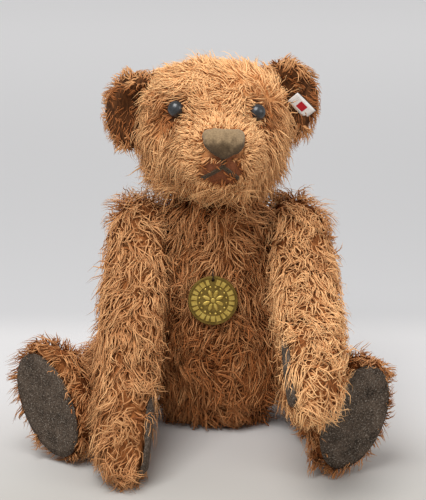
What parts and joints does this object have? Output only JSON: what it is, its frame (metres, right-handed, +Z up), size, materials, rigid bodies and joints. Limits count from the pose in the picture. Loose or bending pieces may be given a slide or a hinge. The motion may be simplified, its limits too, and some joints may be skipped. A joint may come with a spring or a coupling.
{
  "type": "jointed teddy bear",
  "caption": "Seated threadbare mohair teddy bear with disc-jointed head, arms and legs, felt palms and soles, button eyes and a round brass medal on its chest.",
  "frame": {"origin": "middle of the flat seat under the body, on the floor", "axes": "+Z up, the bear faces -Y, +X is the bear's own left side"},
  "size_m": [0.2676, 0.2583, 0.2792],
  "materials": {
    "mohair": "wavy worn pile on a woven backing",
    "felt": "speckled grey-brown wool felt",
    "nose_wool": "felted, worn yarn",
    "eye": "satin black button",
    "medal": "stamped, dulled",
    "thread": "waxed dark thread",
    "tab": "woven tape with a red band",
    "fibre": "pressed fibre board",
    "steel": "plain"
  },
  "bodies": {
    "torso": {"body": "mohair", "left_hip_body_disc": "fibre", "left_hip_body_washer": "steel", "left_hip_split_pin": "steel", "left_shoulder_body_disc": "fibre", "left_shoulder_body_washer": "steel", "left_shoulder_split_pin": "steel", "medal": "medal", "medal_thread": "thread", "neck_body_disc": "fibre", "neck_body_washer": "steel", "neck_split_pin": "steel", "right_hip_body_disc": "fibre", "right_hip_body_washer": "steel", "right_hip_split_pin": "steel", "right_shoulder_body_disc": "fibre", "right_shoulder_body_washer": "steel", "right_shoulder_split_pin": "steel"},
    "head": {"ear_tab": "tab", "head": "mohair", "left_ear": "mohair", "left_eye": "eye", "mouth_stitch": "nose_wool", "neck_limb_disc": "fibre", "neck_limb_washer": "steel", "nose": "nose_wool", "right_ear": "mohair", "right_eye": "eye"},
    "right_arm": {"right_arm": "mohair", "right_palm_felt": "felt", "right_shoulder_limb_disc": "fibre", "right_shoulder_limb_washer": "steel"},
    "left_arm": {"left_arm": "mohair", "left_palm_felt": "felt", "left_shoulder_limb_disc": "fibre", "left_shoulder_limb_washer": "steel"},
    "right_leg": {"right_hip_limb_disc": "fibre", "right_hip_limb_washer": "steel", "right_leg": "mohair", "right_sole_felt": "felt"},
    "left_leg": {"left_hip_limb_disc": "fibre", "left_hip_limb_washer": "steel", "left_leg": "mohair", "left_sole_felt": "felt"}
  },
  "joints": [
    {"name": "neck", "type": "hinge", "parent": "torso", "child": "head", "pos_m": [0, -0.022, 0.182], "axis": [0, 0, 1], "continuous": true},
    {"name": "right_shoulder", "type": "hinge", "parent": "torso", "child": "right_arm", "pos_m": [-0.038, -0.018, 0.148], "axis": [-0.9972, 0.0261, 0.0698], "range_deg": [0, 75]},
    {"name": "left_shoulder", "type": "hinge", "parent": "torso", "child": "left_arm", "pos_m": [0.038, -0.018, 0.148], "axis": [-0.9972, -0.0261, -0.0698], "range_deg": [0, 58]},
    {"name": "right_hip", "type": "hinge", "parent": "torso", "child": "right_leg", "pos_m": [-0.04518, 0.00296, 0.046], "axis": [0.9142, -0.2622, 0.309], "range_deg": [0, 90]},
    {"name": "left_hip", "type": "hinge", "parent": "torso", "child": "left_leg", "pos_m": [0.04694, -0.00754, 0.046], "axis": [0.9498, 0.0498, -0.309], "range_deg": [0, 90]}
  ]
}
